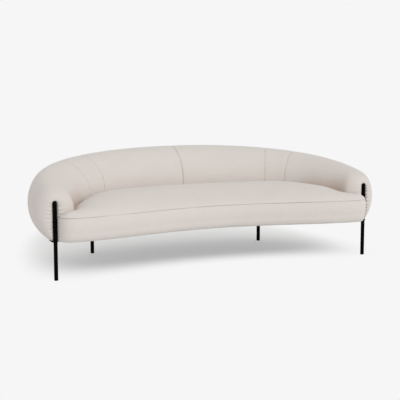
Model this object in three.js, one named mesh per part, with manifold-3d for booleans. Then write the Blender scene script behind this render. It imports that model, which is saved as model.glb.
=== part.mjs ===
// A curved sofa: one padded roll makes the arms and the back, and a crescent seat sits inside it.
// Four slim steel legs carry it, and the cover is gathered behind the two front ones.
// Millimetres, +Z up, the front towards -Y, the origin on the floor under the middle.
import * as THREE from 'three';
import { mergeVertices } from 'three/addons/utils/BufferGeometryUtils.js';
import Module from 'manifold-3d';

// Clearances
const softGap = 0.4;
const hardGap = 0.3;
const overrun = 40;

// Legs
const legDiameter = 25;
const legWall = 2;
const frontLegTop = 488;
const frontLegHalfSpacing = 1067;
const rearLegHalfSpacing = 627;
const rearLegInset = 53.5;
const glideFlange = 3.7;
const glideSpigot = 14;
const glideRounding = 1.5;
const glideFit = 0.3;
const tabWidth = 41;
const tabLength = 76;
const steelPlate = 5;
const rearPlateSize = 60;
const rearPlateCorner = 8;
const screwHole = 6;
const screwEdge = 13;
const bossDiameter = 14;
const bossHeight = 436;
const bossHole = 16;
const boltDiameter = 8;
const boltBore = 8.6;
const boltGrip = 25;
const boltHeadAcross = 13;
const boltHead = 5.5;

// The padded roll: the path of its middle line, its half widths and its heights
const rollDepth = 879;
const rollTipReach = 17;
const rollSquareness = 2.75;
const armOuterHalf = 104;
const armInnerHalf = 136;
const backOuterHalf = 205;
const backInnerHalf = 249;
const outerGrowth = 0.9;
const innerGrowth = 0.25;
const innerStartShare = 0.05;
const innerFullShare = 0.2;
const armTop = 546;
const backTop = 704;
const topGrowth = 0.44;
const tipTop = 480;
const tipBluntShare = 1;
const tipLength = 106;
const undersideHeight = 242;
const bottomSink = 7;
const footTaper = 1.3;
const gatherReachShare = 2;

// Seams of the roll, as shares of the way from the tip of an arm to the middle of the back
const armSeamShare = 0.44;
const sideSeamShare = 0.567;
const seamDip = 2.5;
const seamReach = 8;

// Cover
const coverThickness = 4;
const hemWidth = 32;
const tuckDepth = 20;
const creaseShelf = 8;

// Seat
const frontMiddleSetBack = 24;
const shoulderReach = 111;
const shoulderInset = 107;
const cornerSquareness = 2.6;
const seatEndClearance = 3.5;
const seamHeight = 395;
const backCrease = 410;
const armCrease = 400;
const creaseRiseShare = 0.5;
const seatCrown = 87.5;
const crownPower = 0.78;
const crownFade = 2.4;
const borderBulge = 6;
const frontRoundWidth = 35;
const frontRoundHeight = 55;
const narrowShare = 0.3;
const narrowFoamShare = 0.74;
const frontLag = 1.5;

// Frame
const plateThickness = 18;
const plateFrontInset = 45;
const plateEdgeMargin = 4;
const railThickness = 20;
const edgeFoamThickness = 59;
const borderFoam = 56;
const rearRailInset = 14;
const ventRadius = 55;
const ventShares = [0.08, 0.21, 0.36, 0.5];
const crossRailShare = 0.29;
const beltShares = [0.1, 0.2, 0.4, 0.5];
const foamEndDepth = 60;
const plateEndDepth = 112;
const railEndDepth = 250;
const ribThickness = 18;
const postThickness = 36;
const topRailThickness = 12;
const topRailHalf = 30;
const channelClearance = 3;
const channelOuterShare = 0.8;
const channelInnerShare = 0.55;
const railTopShare = 0.5;
const beltWidth = 50;
const beltThickness = 2;
const dustCoverThickness = 1;
const dustCoverEdge = 1;

// Derived levels
const legRadius = legDiameter / 2;
const plateBottom = undersideHeight + coverThickness + softGap;
const plateTop = plateBottom + plateThickness;
const foamFoot = plateTop + softGap;
const foamInset = coverThickness + softGap;
const deckHeight = seamHeight - edgeFoamThickness;
const deckFoam = deckHeight + hardGap + beltThickness + softGap;
const frontRailInset = foamInset + borderFoam + softGap;
const gatherDepth = legRadius + softGap + rollTipReach;
const gatherReach = legRadius * gatherReachShare;

// Steps of the curves, fewest where nothing bends
const tipAngles = [9, 16, 28, 45];
const padAngle = 66;
const padSplit = 0.25;
const armSteps = 5;
const backSteps = 4;
const innerSteps = 6;
const outerSteps = 6;
const lowerSteps = 5;
const crownShares = [0, 0.03, 0.09, 0.2, 0.35, 0.5, 0.65, 0.8, 0.91, 0.97, 1];
const roundSteps = 4;
const domeSteps = 4;
const ventSteps = 8;
const cornerSteps = 4;
const frontWaySteps = 100;
const hexSides = 6;
const tubeSides = 16;

const mix = THREE.MathUtils.lerp;
const wasm = await Module();
wasm.setup();

// Closes a geometry: merged corners, no empty triangles, faces out
function closed(geometry) {
  const plain = geometry.clone();
  plain.deleteAttribute('normal');
  plain.deleteAttribute('uv');
  const merged = mergeVertices(plain);
  const spot = merged.getAttribute('position');
  const index = [...merged.getIndex().array];
  let kept = [];
  let volume = 0;
  const [a, b, c] = [new THREE.Vector3(), new THREE.Vector3(), new THREE.Vector3()];
  for (let i = 0; i < index.length; i += 3) {
    const [p, q, r] = index.slice(i, i + 3);
    if (p === q || q === r || r === p) continue;
    kept.push(p, q, r);
    a.fromBufferAttribute(spot, p);
    b.fromBufferAttribute(spot, q);
    c.fromBufferAttribute(spot, r);
    volume += a.dot(b.cross(c));
  }
  if (volume < 0) kept = kept.reverse();
  merged.setIndex(kept);
  merged.computeVertexNormals();
  return merged;
}

function toManifold(geometry) {
  const whole = closed(geometry);
  const vertProperties = new Float32Array(whole.getAttribute('position').array);
  const triVerts = new Uint32Array(whole.getIndex().array);
  return new wasm.Manifold(new wasm.Mesh({ numProp: 3, vertProperties, triVerts }));
}

function fromManifold(manifold) {
  const mesh = manifold.getMesh();
  const geometry = new THREE.BufferGeometry();
  geometry.setAttribute('position', new THREE.BufferAttribute(new Float32Array(mesh.vertProperties), 3));
  geometry.setIndex([...mesh.triVerts]);
  return geometry;
}

// Cuts the tools from a body after the added pieces have joined it
function shaped(body, added, tools) {
  let result = toManifold(body);
  for (const piece of added) result = result.add(toManifold(piece));
  for (const tool of tools) result = result.subtract(toManifold(tool));
  return fromManifold(result);
}

// Skins closed loops of points, one after the other, and caps both ends. The inside of a sheet is split
// along the same diagonals as its outside, so that it stays clear of what it covers
function loft(loops, capFaces = solidCap) {
  const count = loops[0].length;
  const outside = capFaces === sheetCap ? count / 2 : count;
  const positions = loops.flat().flatMap((point) => point.toArray());
  const index = [];
  for (let i = 0; i + 1 < loops.length; i++) {
    for (let j = 0; j < count; j++) {
      const next = (j + 1) % count;
      const [p, q, r, s] = [i * count + j, i * count + next, (i + 1) * count + next, (i + 1) * count + j];
      if (j < outside) index.push(p, q, r, p, r, s);
      else index.push(p, q, s, q, r, s);
    }
  }
  const last = (loops.length - 1) * count;
  index.push(...capFaces(loops[0]).flatMap((face) => [...face].reverse()));
  index.push(...capFaces(loops.at(-1)).flatMap((face) => face.map((corner) => corner + last)));
  const geometry = new THREE.BufferGeometry();
  geometry.setAttribute('position', new THREE.Float32BufferAttribute(positions, 3));
  geometry.setIndex(index);
  return geometry;
}

// Faces of a flat end, turned the way its outline runs
function solidCap(loop) {
  const flat = flattened(loop);
  const way = Math.sign(THREE.ShapeUtils.area(flat));
  return THREE.ShapeUtils.triangulateShape(flat, []).map((face) => {
    const turn = Math.sign(THREE.ShapeUtils.area(face.map((corner) => flat[corner])));
    return turn === way ? face : [...face].reverse();
  });
}

// Faces of a sheet's edge: the first half of its loop is the outside, the second half the inside
function sheetCap(loop) {
  const last = loop.length - 1;
  const faces = [];
  for (let j = 0; j + 1 < loop.length / 2; j++) {
    faces.push([j, j + 1, last - j - 1], [j, last - j - 1, last - j]);
  }
  return faces;
}

// Lays a standing loop flat: its plan distance along its longest plan direction, and its height
function flattened(loop) {
  const start = loop[0];
  const planar = (point) => new THREE.Vector2(point.x - start.x, point.y - start.y);
  const farthest = loop.map(planar).reduce((best, each) => (each.length() > best.length() ? each : best));
  const direction = farthest.clone().normalize();
  return loop.map((point) => new THREE.Vector2(planar(point).dot(direction), point.z));
}

const mirrored = (point) => new THREE.Vector3(-point.x, point.y, point.z);

// Turns a profile of radius and height about the Z axis
function turned(profile, sides = tubeSides) {
  const points = profile.map(([radius, height]) => new THREE.Vector2(radius, height));
  return new THREE.LatheGeometry(points, sides).rotateX(Math.PI / 2);
}

function block(width, depth, height) {
  return new THREE.BoxGeometry(width, depth, height).translate(0, 0, height / 2);
}

// The middle line of the roll, from the tip of the right arm to the middle of the back
class RollPath extends THREE.Curve {
  getPoint(t, target = new THREE.Vector3()) {
    const angle = (t * Math.PI) / 2;
    const power = 2 / rollSquareness;
    const x = frontLegHalfSpacing * Math.cos(angle) ** power;
    const y = rollDepth * Math.sin(angle) ** power - rollTipReach;
    return target.set(x, y, 0);
  }
}

// The front line of the seat, from its middle round the shoulder to the leg
class FrontLine extends THREE.Curve {
  getPoint(t, target = new THREE.Vector3()) {
    const endX = frontLegHalfSpacing - legRadius - seatEndClearance;
    const shoulderX = frontLegHalfSpacing - shoulderInset;
    if (t <= 0.5) {
      const share = 2 * t;
      const fall = (frontMiddleSetBack + shoulderReach) * (2 * share ** 2 - share ** 4);
      return target.set(shoulderX * share, frontMiddleSetBack - fall, 0);
    }
    const angle = (2 * t - 1) * (Math.PI / 2);
    const power = 2 / cornerSquareness;
    const x = mix(shoulderX, endX, Math.sin(angle) ** power);
    const y = -legRadius - (shoulderReach - legRadius) * Math.cos(angle) ** power;
    return target.set(x, y, 0);
  }
}

const rollPath = new RollPath();
rollPath.arcLengthDivisions = 2000;
const rollLength = rollPath.getLength();
const frontLine = new FrontLine();
frontLine.arcLengthDivisions = 1000;

// The rear legs stand a little in front of the middle line of the roll
const rearLegAngle = Math.acos((rearLegHalfSpacing / frontLegHalfSpacing) ** (rollSquareness / 2));
const rearLegSetBack = rollPath.getPoint(rearLegAngle / (Math.PI / 2)).y - rearLegInset;

// A station is a place along half of the roll. At the tip, turn falls from 1 to 0 as the end rounds off
const station = (along, dip = 0) => ({ along, turn: 1, dip });
const tipStation = (angle) => ({ fromTip: 1 - Math.cos(angle), turn: Math.sin(angle), dip: 0 });

function distance(place, inset) {
  return place.turn < 1 ? inset + (tipLength - inset) * place.fromTip : place.along;
}

function creaseHeight(share) {
  return mix(armCrease, backCrease, Math.min(share / creaseRiseShare, 1));
}

// Half widths and levels of the roll's section, drawn in all round by the inset
function rollSection(place, inset) {
  const share = distance(place, 0) / rollLength;
  const blend = (1 - Math.cos(Math.PI * share)) / 2;
  const shoulder = THREE.MathUtils.smoothstep(share, innerStartShare, innerFullShare);
  const outer = (mix(armOuterHalf, backOuterHalf, blend ** outerGrowth) - inset) * place.turn;
  // The inner side stays full nearer to the tip than the outer side
  const full = place.turn * (1 + tipBluntShare * place.turn * (1 - place.turn));
  const inner = (mix(armInnerHalf, backInnerHalf, blend ** innerGrowth * shoulder) - inset) * full;
  const top = mix(tipTop, mix(armTop, backTop, blend ** topGrowth), place.turn) - inset;
  const bottom = undersideHeight + inset - place.dip;
  const middle = (top + bottom) / 2;
  const lower = middle - bottom + bottomSink;
  return { outer, inner, top, bottom, middle, lower, crease: creaseHeight(share) };
}

// The outer lower quarter of the section: the angle at which it reaches a height, and its width there
const footAngle = (section, height) => Math.asin((section.middle - height) / section.lower);
const footWidth = (section, angle) => section.outer * Math.cos(angle) ** footTaper;

// Places a point of the section in space. Near a front leg it is gathered in behind the tube
function onRoll(place, inset, across, height) {
  const along = distance(place, inset);
  const share = THREE.MathUtils.clamp(along / rollLength, 0, 1);
  const tangent = rollPath.getTangentAt(share);
  const point = rollPath.getPointAt(share).addScaledVector(tangent, along - share * rollLength);
  point.set(point.x + tangent.y * across, point.y - tangent.x * across, height);
  const aside = (point.x - frontLegHalfSpacing) / gatherReach;
  point.y += gatherDepth * Math.exp(-(aside ** 2)) * (1 - place.turn ** 2);
  return point;
}

const steps = (count) => Array.from({ length: count }, (_, i) => (i + 1) / count);

// The upper half of the section, from its inner side over the top to its outer side
function upperLine(section) {
  const rise = section.top - section.middle;
  const line = [[-section.inner, section.middle]];
  for (const step of steps(innerSteps)) {
    const angle = (step * Math.PI) / 2;
    line.push([-section.inner * Math.cos(angle), section.middle + rise * Math.sin(angle)]);
  }
  for (const step of steps(outerSteps)) {
    const angle = (step * Math.PI) / 2;
    line.push([section.outer * Math.sin(angle), section.middle + rise * Math.cos(angle)]);
  }
  return line;
}

// The outer side of the section, from its widest place down to the foot of the foam
function lowerLine(section) {
  const last = footAngle(section, foamFoot);
  return steps(lowerSteps).map((step) => {
    const angle = last * step;
    return [footWidth(section, angle), section.middle - section.lower * Math.sin(angle)];
  });
}

// The cover runs from the tuck beside the seat over the roll to the hem under the base plate
function coverLine(place, inset) {
  const section = rollSection(place, inset);
  const tuck = Math.min(section.crease - tuckDepth, section.middle - creaseShelf);
  const foot = footWidth(section, footAngle(section, section.bottom));
  const line = [[-section.inner, tuck], ...upperLine(section), ...lowerLine(section), [foot, section.bottom]];
  line.push([foot - hemWidth * place.turn, section.bottom]);
  return line;
}

const placed = (place, inset) => ([across, height]) => onRoll(place, inset, across, height);

function coverLoop(place) {
  const outside = coverLine(place, place.dip).map(placed(place, place.dip));
  const inset = place.dip + coverThickness;
  const inside = coverLine(place, inset).map(placed(place, inset));
  return [...outside, ...inside.reverse()];
}

// The room for the frame inside the foam of the roll
function channel(place) {
  const section = rollSection(station(distance(place, 0)), 0);
  const foot = footWidth(section, footAngle(section, foamFoot));
  const railTop = mix(section.middle, section.top, railTopShare);
  return {
    outer: foot * channelOuterShare,
    inner: section.inner * channelInnerShare,
    shoulder: section.middle,
    railTop,
    railBottom: railTop - topRailThickness,
  };
}

function foamOutline(place, inset) {
  const section = rollSection(place, inset);
  return [[-section.inner, foamFoot], ...upperLine(section), ...lowerLine(section)];
}

function foamLoop(place) {
  const inset = place.dip + foamInset;
  const room = channel(place);
  const half = topRailHalf + channelClearance;
  const roof = room.railTop + softGap;
  const line = [
    ...foamOutline(place, inset),
    [room.outer, foamFoot],
    [room.outer, room.shoulder],
    [half, roof],
    [-half, roof],
    [-room.inner, room.shoulder],
    [-room.inner, foamFoot],
  ];
  return line.map(placed(place, inset));
}

function padLoop(place) {
  return foamOutline(place, foamInset).map(placed(place, foamInset));
}

const radians = THREE.MathUtils.degToRad;
const slitAngle = Math.asin(legRadius / armInnerHalf);
const armSeam = armSeamShare * rollLength;
const sideSeam = sideSeamShare * rollLength;

// Stations beside a seam: drawn in at the seam itself, full a short way off
const beforeSeam = (seam) => [station(seam - seamReach), station(seam - softGap / 2, seamDip)];
const afterSeam = (seam) => [station(seam + softGap / 2, seamDip), station(seam + seamReach)];
const between = (from, to, count) => steps(count).slice(0, -1).map((step) => station(mix(from, to, step)));

const tipStations = [slitAngle, ...tipAngles.map(radians)].map(tipStation);
const armBody = [station(tipLength), ...between(tipLength, armSeam, armSteps)];
const sideBody = between(armSeam, sideSeam, 2);
const backBody = between(sideSeam, rollLength, backSteps);
const armStations = [...tipStations, tipStation(radians(padAngle)), ...armBody, ...beforeSeam(armSeam)];
const sideStations = [...afterSeam(armSeam), ...sideBody, ...beforeSeam(sideSeam)];
const backStations = [...afterSeam(sideSeam), ...backBody, ...beforeSeam(rollLength)];
const padStations = [...tipStations, tipStation(radians(padAngle - padSplit))];
const armFoamStations = [tipStation(radians(padAngle + padSplit)), ...armBody, ...beforeSeam(armSeam)];
const sideSeamStations = [station(sideSeam - seamReach), station(sideSeam, seamDip)];
const backFoamStations = [...afterSeam(armSeam), ...sideBody, ...sideSeamStations, ...backStations.slice(1)];

// A slice of the seat joins a point of the front line to a point of the roll's inner face
function seatSlices() {
  const places = [...tipStations, tipStation(radians(padAngle)), ...armBody, station(armSeam), ...sideBody];
  places.push(station(sideSeam), ...backBody, station(rollLength));
  const found = places.reverse().map((place) => {
    const { inner, crease } = rollSection(place, -softGap);
    return { rear: onRoll(place, -softGap, -inner, 0), crease };
  });
  const rearWay = found.map((slice) => slice.rear);
  const walked = rearWay.map((_, i) => lengthOf(rearWay.slice(0, i + 1)));
  found.forEach((slice, i) => {
    slice.share = walked[i] / walked.at(-1);
    const frontShare = slice.share ** frontLag;
    const along = frontLine.getTangentAt(frontShare);
    slice.front = frontLine.getPointAt(frontShare);
    slice.frontIn = new THREE.Vector3(-along.y, along.x, 0);
    slice.rearIn = inwardAt(rearWay, i);
  });
  // The end of the seat is pinched beside the leg, so there the lining lies straight towards the front
  const end = found.at(-1);
  end.rearIn = end.front.clone().sub(end.rear).normalize();
  return found;
}

const lengthOf = (way) => way.slice(1).reduce((sum, point, i) => sum + point.distanceTo(way[i]), 0);

// The direction into the seat at a point of its rear line, which starts in the middle of the back
function inwardAt(way, i) {
  const before = i > 0 ? way[i - 1] : mirrored(way[1]);
  const after = way[i + 1] ?? way[i];
  const turn = new THREE.Vector3();
  for (const [from, to] of [[before, way[i]], [way[i], after]]) {
    if (from !== to) turn.add(to.clone().sub(from).normalize());
  }
  return new THREE.Vector3(turn.y, -turn.x, 0).normalize();
}

const slices = seatSlices();
const depthOf = (slice) => slice.front.distanceTo(slice.rear);

function fromFront(slice, inset, height) {
  return slice.front.clone().addScaledVector(slice.frontIn, inset).setZ(height);
}

function fromRear(slice, inset, height) {
  return slice.rear.clone().addScaledVector(slice.rearIn, inset).setZ(height);
}

// The shortest way from a point to a line of points, in plan
function distanceTo(line, point) {
  const foot = new THREE.Vector3();
  const ways = line.slice(1).map((end, i) => {
    new THREE.Line3(line[i], end).closestPointToPoint(point, true, foot);
    return foot.distanceTo(point);
  });
  return Math.min(...ways);
}

const frontWay = frontLine.getSpacedPoints(frontWaySteps).map((point) => point.setZ(0));
const rearWay = slices.map((slice) => slice.rear);

// The height of the seat at a share of the way from its seam to its crease, on a slice
function crownHeight(slice, share) {
  const point = fromFront(slice, seamDip, 0).lerp(fromRear(slice, 0, 0), share);
  const ahead = Math.max(distanceTo(frontWay, point) - seamDip, 0);
  const behind = distanceTo(rearWay, point);
  const back = share < 1 ? ahead / (ahead + behind) : 1;
  const fullness = 1 - Math.max(1 - (ahead + behind) / depthOf(slices[0]), 0) ** crownFade;
  const crown = seatCrown * fullness * (4 * back * (1 - back)) ** crownPower;
  return mix(seamHeight + softGap, slice.crease, back) + crown;
}

for (const slice of slices) slice.heights = crownShares.map((share) => crownHeight(slice, share));

// The slice at a share of the way from the middle of the seat to its end, on side 1 or -1
function sliceAt(share, side) {
  const after = Math.max(slices.findIndex((slice) => slice.share >= share), 1);
  const [near, far] = [slices[after - 1], slices[after]];
  const part = (share - near.share) / (far.share - near.share);
  const slice = {};
  for (const key of ['front', 'rear', 'frontIn', 'rearIn']) {
    slice[key] = near[key].clone().lerp(far[key], part);
    slice[key].x *= side;
  }
  return slice;
}

// Runs a loop of points along the seat, from its right end through the middle to its left end
function alongSeat(loopAt, slicesUsed, capFaces = solidCap) {
  const right = [...slicesUsed].reverse().map(loopAt);
  const left = right.slice(0, -1).reverse().map((loop) => loop.map(mirrored));
  return loft([...right, ...left], capFaces);
}

// The border runs from the hem round the bottom edge up to the seam
function borderLine(slice, inset) {
  const round = Math.min(frontRoundWidth, depthOf(slice) * narrowShare);
  const hem = Math.min(hemWidth, depthOf(slice) * narrowShare);
  const bottom = undersideHeight + inset;
  const roundTop = undersideHeight + frontRoundHeight;
  const line = [[round + hem, bottom], [round, bottom]];
  for (const step of steps(roundSteps)) {
    const angle = (step * Math.PI) / 2;
    const height = roundTop - (frontRoundHeight - inset) * Math.cos(angle);
    line.push([round - (round - inset) * Math.sin(angle), height]);
  }
  line.push([inset - borderBulge, (roundTop + seamHeight) / 2]);
  line.push([inset, seamHeight - seamReach], [inset + seamDip, seamHeight]);
  return line.map(([way, height]) => fromFront(slice, way, height));
}

// The crown from the seam to the crease
function crownLine(slice, inset) {
  const front = fromFront(slice, seamDip + inset, 0);
  const rear = fromRear(slice, inset, 0);
  return crownShares.map((share, i) => {
    const drop = share > 0 ? inset : 0;
    return front.clone().lerp(rear, share).setZ(slice.heights[i] - drop);
  });
}

// The top cover runs over the crown and down the tuck in front of the roll
function topLine(slice, inset) {
  return [...crownLine(slice, inset), fromRear(slice, inset, slice.crease - tuckDepth)];
}

const sheetLoop = (line) => (slice) => [...line(slice, 0), ...line(slice, coverThickness).reverse()];

function seatFoamLoop(slice) {
  const front = [deckFoam, seamHeight - seamReach].map((height) => fromFront(slice, foamInset, height));
  const crown = crownLine(slice, foamInset);
  crown[0].setZ(seamHeight - coverThickness);
  return [...front, ...crown, fromRear(slice, foamInset, deckFoam)];
}

// The border foam stands on the base plate and hangs over its front edge down to the hem
function frontFoamLoop(slice) {
  const line = borderLine(slice, foamInset).slice(1).filter((point) => point.z < deckHeight);
  const back = Math.min(foamInset + borderFoam, depthOf(slice) * narrowFoamShare);
  const step = Math.min(plateFrontInset - softGap, back * narrowFoamShare);
  const corners = [[foamInset, deckHeight], [back, deckHeight], [back, foamFoot]];
  corners.push([step, foamFoot], [step, plateBottom]);
  return [...line, ...corners.map(([way, height]) => fromFront(slice, way, height))];
}

const woodFoot = plateTop + hardGap;

function railLoop(from, start) {
  return (slice) => {
    const corners = [[start, woodFoot], [start, deckHeight]];
    corners.push([start + railThickness, deckHeight], [start + railThickness, woodFoot]);
    return corners.map(([way, height]) => from(slice, way, height));
  };
}

// Slices deep enough for the foam, for the base plate and for both rails
const foamSlices = slices.filter((slice) => depthOf(slice) > foamEndDepth);
const plateSlices = slices.filter((slice) => depthOf(slice) > plateEndDepth);
const railSlices = slices.filter((slice) => depthOf(slice) > railEndDepth);

// A straight board across the seat, between a distance from its front and one from its rear
function board(slice, frontInset, rearInset, thickness, bottom, top) {
  const from = fromFront(slice, frontInset, bottom);
  const to = fromRear(slice, rearInset, bottom);
  const way = to.clone().sub(from);
  const half = thickness / 2;
  const ease = half * Math.max(slant(way, slice.frontIn), slant(way, slice.rearIn));
  const centre = from.add(to).multiplyScalar(1 / 2);
  const flat = block(way.length() - 2 * ease, thickness, top - bottom);
  return flat.rotateZ(Math.atan2(way.y, way.x)).translate(...centre.toArray());
}

// How far a board's end recedes, for each unit of its width, where it meets a slanting rail
function slant(way, normal) {
  return Math.abs(way.clone().cross(normal).z / way.dot(normal));
}

function crossRail(share, side) {
  const frontInset = frontRailInset + railThickness + hardGap;
  const rearInset = rearRailInset + railThickness + hardGap;
  return board(sliceAt(share, side), frontInset, rearInset, railThickness, woodFoot, deckHeight);
}

function endRail(side) {
  const slice = sliceAt(railSlices.at(-1).share, side);
  const way = fromRear(slice, rearRailInset, 0).sub(fromFront(slice, frontRailInset, 0)).normalize();
  const outward = new THREE.Vector3(way.y, -way.x, 0).multiplyScalar(side * (railThickness / 2 + hardGap));
  const rail = board(slice, frontRailInset, rearRailInset, railThickness, woodFoot, deckHeight);
  return rail.translate(...outward.toArray());
}

function belt(share, side) {
  const bottom = deckHeight + hardGap;
  const top = bottom + beltThickness;
  return board(sliceAt(share, side), frontRailInset, rearRailInset, beltWidth, bottom, top);
}

// Outline of the flat pieces under the roll, in plan. It starts behind the front leg
function rollEdge(inset) {
  const nose = tipStation(radians(padAngle));
  const edge = [nose, ...armBody, station(armSeam), station(sideSeam), ...backBody].map((place) => {
    const section = rollSection(place, foamInset);
    const foot = footWidth(section, footAngle(section, section.bottom));
    return onRoll(place, foamInset, foot - inset * place.turn, 0);
  });
  return [onRoll(nose, foamInset, -inset, 0), ...edge];
}

function plan(rollPoints, frontInset, usedSlices) {
  const front = usedSlices.map((slice) => fromFront(slice, frontInset, 0));
  const outline = [...rollPoints, ...[...rollPoints].reverse().map(mirrored)];
  outline.push(...[...front].reverse().map(mirrored), ...front.slice(1));
  return outline.map((point) => new THREE.Vector2(point.x, point.y));
}

// A round vent through the base plate, half way between the front and the rear of the seat
function vent(share, side) {
  const slice = sliceAt(share, side);
  const centre = fromFront(slice, frontRailInset, 0).lerp(fromRear(slice, rearRailInset, 0), 1 / 2);
  return new THREE.Path().absellipse(centre.x, centre.y, ventRadius, ventRadius, 0, 2 * Math.PI);
}

function basePlate() {
  const shape = new THREE.Shape(plan(rollEdge(plateEdgeMargin), plateFrontInset, plateSlices));
  for (const side of [1, -1]) {
    for (const share of ventShares) shape.holes.push(vent(share, side));
  }
  const options = { depth: plateThickness, bevelEnabled: false, curveSegments: ventSteps };
  return new THREE.ExtrudeGeometry(shape, options).translate(0, 0, plateBottom);
}

function dustCover() {
  const edge = hemWidth + dustCoverEdge;
  const inset = frontRoundWidth + edge;
  const shape = new THREE.Shape(plan(rollEdge(edge), inset, plateSlices));
  const depth = dustCoverThickness;
  const bottom = plateBottom - hardGap - depth;
  return new THREE.ExtrudeGeometry(shape, { depth, bevelEnabled: false }).translate(0, 0, bottom);
}

// Upright plates inside the roll, square to its path
function uprightPlate(place, thickness) {
  const room = channel(place);
  const outer = room.outer - channelClearance;
  const inner = room.inner - channelClearance;
  const top = channel(station(place.along - thickness)).railBottom - hardGap;
  const points = [[-inner, woodFoot], [-inner, room.shoulder], [-topRailHalf, top]];
  points.push([topRailHalf, top], [outer, room.shoulder], [outer, woodFoot]);
  const shape = new THREE.Shape(points.map(([x, y]) => new THREE.Vector2(x, y)));
  const plate = new THREE.ExtrudeGeometry(shape, { depth: thickness, bevelEnabled: false });
  const share = place.along / rollLength;
  const tangent = rollPath.getTangentAt(share);
  const outward = new THREE.Vector3(tangent.y, -tangent.x, 0);
  const up = new THREE.Vector3(0, 0, 1);
  const basis = new THREE.Matrix4().makeBasis(outward, up, outward.clone().cross(up));
  plate.translate(0, 0, -thickness / 2).applyMatrix4(basis);
  return plate.translate(...rollPath.getPointAt(share).toArray());
}

const seamPlaces = [station(armSeam), ...sideBody, station(sideSeam)];
const topRailPlaces = [...armFoamStations.slice(1, -2), ...seamPlaces, ...backBody, station(rollLength)];

function topRail() {
  const loopAt = (place) => {
    const { railTop, railBottom: low } = channel(place);
    const points = [[-topRailHalf, low], [topRailHalf, low], [topRailHalf, railTop], [-topRailHalf, railTop]];
    return points.map(placed(place, 0));
  };
  const right = topRailPlaces.map(loopAt);
  const left = right.slice(0, -1).reverse().map((loop) => loop.map(mirrored));
  return loft([...right, ...left]);
}

// The post stands behind the end pad, where the leg is bolted
const padEnd = distance(tipStation(radians(padAngle)), foamInset);
const padGather = gatherDepth * Math.cos(radians(padAngle)) ** 2;
const postPlace = station(padEnd + padGather + hardGap + postThickness / 2);

const postFront = rollPath.getPointAt(postPlace.along / rollLength).y - postThickness / 2;
const postBack = postFront + postThickness;

function alongY(diameter, from, to, sides = tubeSides) {
  const rod = new THREE.CylinderGeometry(diameter / 2, diameter / 2, to - from, sides);
  return rod.translate(frontLegHalfSpacing, (from + to) / 2, bossHeight);
}

function armPost() {
  const bore = alongY(boltBore, postFront - overrun, postBack + overrun);
  return shaped(uprightPlate(postPlace, postThickness), [], [bore]);
}

function legBolt() {
  const shank = alongY(boltDiameter, postFront - boltGrip, postBack + hardGap + boltHead / 2);
  const head = alongY(boltHeadAcross, postBack + hardGap, postBack + hardGap + boltHead, hexSides);
  return shaped(shank, [head], []);
}

function endPad() {
  const hole = alongY(bossHole, 0, postFront);
  return shaped(loft(padStations.map(padLoop)), [], [hole]);
}

// Legs: tubes open at the foot, where a glide plugs them
function legTube(top) {
  const inside = legRadius - legWall;
  const shoulder = top - legRadius;
  const profile = [[0, shoulder], [inside, shoulder], [inside, glideFlange + hardGap]];
  profile.push([legRadius, glideFlange + hardGap]);
  for (const share of [0, ...steps(domeSteps)]) {
    const angle = (share * Math.PI) / 2;
    profile.push([share < 1 ? legRadius * Math.cos(angle) : 0, shoulder + legRadius * Math.sin(angle)]);
  }
  return turned(profile);
}

function hole(diameter, x, y, height) {
  const tool = new THREE.CylinderGeometry(diameter / 2, diameter / 2, overrun, tubeSides);
  return tool.rotateX(Math.PI / 2).translate(x, y, height);
}

function frontLeg() {
  const tabBottom = undersideHeight - hardGap - steelPlate;
  const tab = block(tabWidth, tabLength, steelPlate).translate(0, tabLength / 2, tabBottom);
  const boss = alongY(bossDiameter, legRadius - legWall / 2, postFront - hardGap);
  const bore = alongY(boltBore, postFront - hardGap - boltGrip - boltDiameter / 2, postFront + overrun);
  for (const piece of [boss, bore]) piece.translate(-frontLegHalfSpacing, 0, 0);
  const backs = [tabLength - screwEdge, tabLength - screwEdge - legDiameter];
  const holes = backs.map((back) => hole(screwHole, 0, back, tabBottom));
  const inside = legRadius - legWall;
  const reach = tabBottom + overrun;
  const hollow = turned([[0, 0], [inside, 0], [inside, reach], [0, reach]]);
  const leg = shaped(legTube(frontLegTop), [tab, boss], [bore, ...holes, hollow]);
  return leg.translate(frontLegHalfSpacing, 0, 0);
}

function roundedSquare(size, corner) {
  const half = size / 2 - corner;
  const shape = new THREE.Shape();
  [[half, half, 0], [-half, half, 1], [-half, -half, 2], [half, -half, 3]].forEach(([x, y, turn]) => {
    shape.absarc(x, y, corner, (turn * Math.PI) / 2, ((turn + 1) * Math.PI) / 2, false);
  });
  return shape;
}

function rearLeg() {
  const top = plateBottom - 2 * hardGap - dustCoverThickness;
  const shape = roundedSquare(rearPlateSize, rearPlateCorner);
  const options = { depth: steelPlate, bevelEnabled: false, curveSegments: cornerSteps };
  const plate = new THREE.ExtrudeGeometry(shape, options).translate(0, 0, top - steelPlate);
  const inside = legRadius - legWall;
  const foot = glideFlange + hardGap;
  const weld = top - steelPlate / 2;
  const tube = turned([[inside, foot], [legRadius, foot], [legRadius, weld], [inside, weld], [inside, foot]]);
  const far = rearPlateSize / 2 - screwEdge;
  const corners = [[far, far], [-far, far], [-far, -far], [far, -far]];
  const holes = corners.map(([x, y]) => hole(screwHole, x, y, top));
  return shaped(tube, [plate], holes).translate(rearLegHalfSpacing, rearLegSetBack, 0);
}

function glide() {
  const spigot = legRadius - legWall - glideFit;
  const top = glideFlange + glideSpigot;
  const profile = [[0, 0], [legRadius - glideRounding, 0], [legRadius, glideRounding]];
  profile.push([legRadius, glideFlange], [spigot, glideFlange], [spigot, top - glideRounding]);
  profile.push([spigot - glideRounding, top], [0, top]);
  return turned(profile);
}

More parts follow.
